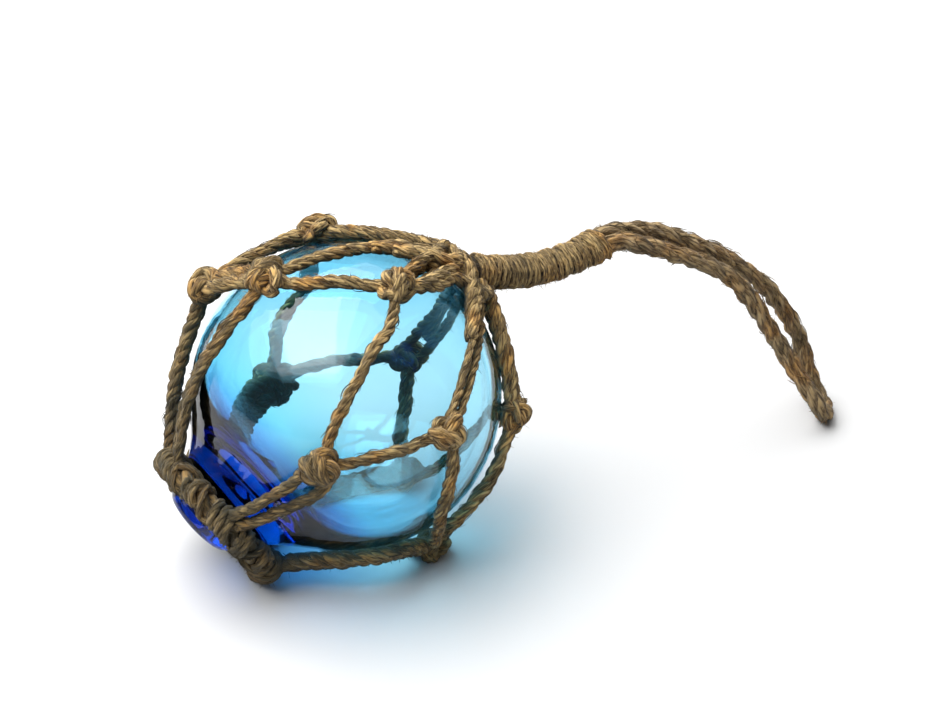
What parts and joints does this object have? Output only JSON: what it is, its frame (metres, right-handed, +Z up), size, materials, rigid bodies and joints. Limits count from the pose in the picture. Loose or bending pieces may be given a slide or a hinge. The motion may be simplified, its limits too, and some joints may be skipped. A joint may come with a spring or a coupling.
{
  "type": "glass float ball",
  "caption": "Blue glass float ball lying in a knotted jute net, with a rope ring round its seal, a twine-whipped neck and a hanging loop.",
  "frame": {"origin": "on the floor that the float lies on, below the middle of the box of the ball, net, ring and neck; the glass ball's centre is at x -10, y 0.2, z 40 mm", "axes": "+Z up; +X level, towards the neck and the hanging loop, along the longest side of the ball, net and neck; +Y level, to the back"},
  "size_m": [0.1739, 0.1103, 0.0812],
  "materials": {
    "blue_glass": "polished, clear blue, darker where it is thick",
    "jute_cord": "twisted natural fibre, hairy and matt",
    "jute_twine": "fine twisted natural fibre, wound tight and matt"
  },
  "bodies": {
    "root": {"glass_ball": "blue_glass", "net": "jute_cord", "base_ring": "jute_cord", "neck_whipping": "jute_twine", "hanging_loop": "jute_cord"}
  },
  "joints": []
}
